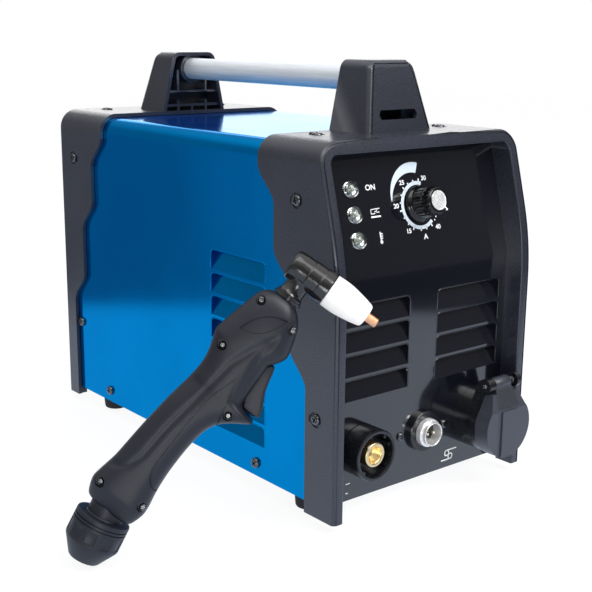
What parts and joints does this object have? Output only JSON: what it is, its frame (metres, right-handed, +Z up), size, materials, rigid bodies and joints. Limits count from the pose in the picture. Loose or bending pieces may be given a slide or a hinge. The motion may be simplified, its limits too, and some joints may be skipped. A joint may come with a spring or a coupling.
{
  "type": "plasma cutter unit",
  "caption": "Portable inverter plasma cutter: blue sheet casing between dark moulded end frames, carrying tube, control panel with sockets, and a leaning torch.",
  "frame": {"origin": "centre of the plane that the four feet stand on", "axes": "+Z up, -Y out of the front panel, +X to the right seen from the front"},
  "size_m": [0.319, 0.4191, 0.2805],
  "materials": {
    "blue_paint": "gloss paint",
    "frame_plastic": "fine moulded texture",
    "panel_black": "gloss film",
    "galvanised_steel": "zinc plated",
    "tube_aluminium": "brushed along its length",
    "foot_rubber": "matte",
    "black_screw": "blackened",
    "bright_steel": "turned",
    "knob_plastic": "gloss",
    "spun_aluminium": "spun",
    "clear_lens": "clear moulded",
    "black_plastic": "satin",
    "brass_turned": "turned",
    "chrome_shell": "polished",
    "gold_pins": "plated",
    "lid_plastic": "fine moulded texture",
    "spring_steel": "oiled",
    "red_plastic": "gloss",
    "cast_alloy": "fine cast",
    "clear_bowl": "clear moulded",
    "board_green": "coated",
    "sink_aluminium": "extruded",
    "ferrite": "sintered",
    "copper_wire": "enamelled",
    "can_blue": "sleeved",
    "hose_blue": "smooth",
    "handle_plastic": "fine moulded texture",
    "head_plastic": "gloss",
    "white_ceramic": "fired ceramic",
    "copper": "turned copper"
  },
  "bodies": {
    "unit": {"base_pan": "galvanised_steel", "cover": "blue_paint", "front_frame": "frame_plastic", "rear_frame": "frame_plastic", "front_panel": "panel_black", "rear_panel": "panel_black", "handle_tube": "tube_aluminium", "feet": "foot_rubber", "foot_screws": "bright_steel", "casing_screws": "black_screw", "fan_screws": "black_screw", "potentiometer": "black_plastic", "pilot_lenses": "clear_lens", "lamp_holders": "black_plastic", "torch_socket_housing": "black_plastic", "torch_socket_insert": "brass_turned", "control_socket_flange": "black_plastic", "control_socket_shell": "chrome_shell", "control_socket_core": "black_plastic", "control_socket_pins": "gold_pins", "socket_screws": "black_screw", "earth_socket_housing": "black_plastic", "earth_socket_contact": "brass_turned", "lid_hinge_pin": "bright_steel", "lid_spring": "spring_steel", "fan_frame": "black_plastic", "fan_guard": "bright_steel", "switch_body": "black_plastic", "mains_gland": "black_plastic", "regulator_body": "cast_alloy", "gauge_case": "black_plastic", "condensate_bowl": "clear_bowl", "air_inlet": "brass_turned", "main_board": "board_green", "control_board": "board_green", "heatsinks": "sink_aluminium", "transformer": "ferrite", "output_choke": "copper_wire", "capacitors": "can_blue", "solenoid_valve": "cast_alloy", "air_hose": "hose_blue"},
    "knob": {"knob": "knob_plastic", "knob_cap": "spun_aluminium", "knob_shaft": "bright_steel"},
    "lid": {"socket_lid": "lid_plastic"},
    "fan": {"fan_rotor": "black_plastic"},
    "rocker": {"switch_rocker": "red_plastic"},
    "pressure_knob": {"regulator_knob": "black_plastic"},
    "needle": {"gauge_needle": "red_plastic"},
    "drain": {"drain_valve": "brass_turned"},
    "torch": {"torch_handle_left": "handle_plastic", "torch_handle_right": "handle_plastic", "torch_screws": "bright_steel", "trigger_switch": "black_plastic", "torch_head": "head_plastic", "electrode": "copper", "shield_cup": "white_ceramic", "nozzle_tip": "copper", "torch_boot": "handle_plastic"},
    "trigger": {"torch_trigger": "handle_plastic"}
  },
  "joints": [
    {"name": "knob_turn", "type": "hinge", "parent": "unit", "child": "knob", "pos_m": [0.002, -0.14203, 0.19219], "axis": [0, -0.9659, 0.2588], "range_deg": [0, 280]},
    {"name": "lid_swing", "type": "hinge", "parent": "unit", "child": "lid", "pos_m": [0.052, -0.173, 0.072], "axis": [-1, 0, 0], "range_deg": [0, 110], "stiffness_Nm_per_rad": 0.01, "springref_deg": -22.92},
    {"name": "fan_spin", "type": "hinge", "parent": "unit", "child": "fan", "pos_m": [-0.026, 0.138, 0.168], "axis": [0, 1, 0], "continuous": true},
    {"name": "switch_rock", "type": "hinge", "parent": "unit", "child": "rocker", "pos_m": [0.048, 0.148, 0.196], "axis": [1, 0, 0], "range_deg": [0, 20]},
    {"name": "pressure_turn", "type": "hinge", "parent": "unit", "child": "pressure_knob", "pos_m": [0.034, 0.192, 0.1143], "axis": [0, 0, 1], "range_deg": [0, 540]},
    {"name": "needle_swing", "type": "hinge", "parent": "unit", "child": "needle", "pos_m": [0.034, 0.212, 0.092], "axis": [0, -1, 0], "range_deg": [0, 270], "stiffness_Nm_per_rad": 0.0001},
    {"name": "drain_push", "type": "slide", "parent": "unit", "child": "drain", "axis": [0, 0, 1], "range_m": [0, 0.003], "stiffness_N_per_m": 200, "springref_m": -0.002},
    {"name": "torch_lift", "type": "slide", "parent": "unit", "child": "torch", "axis": [0, 0, 1], "range_m": [0, 0.25]},
    {"name": "trigger_pull", "type": "hinge", "parent": "torch", "child": "trigger", "pos_m": [-0.1291, -0.15377, 0.11242], "axis": [0.6287, 0.7493, -0.2079], "range_deg": [0, 7], "stiffness_Nm_per_rad": 0.3, "springref_deg": -8.59}
  ]
}
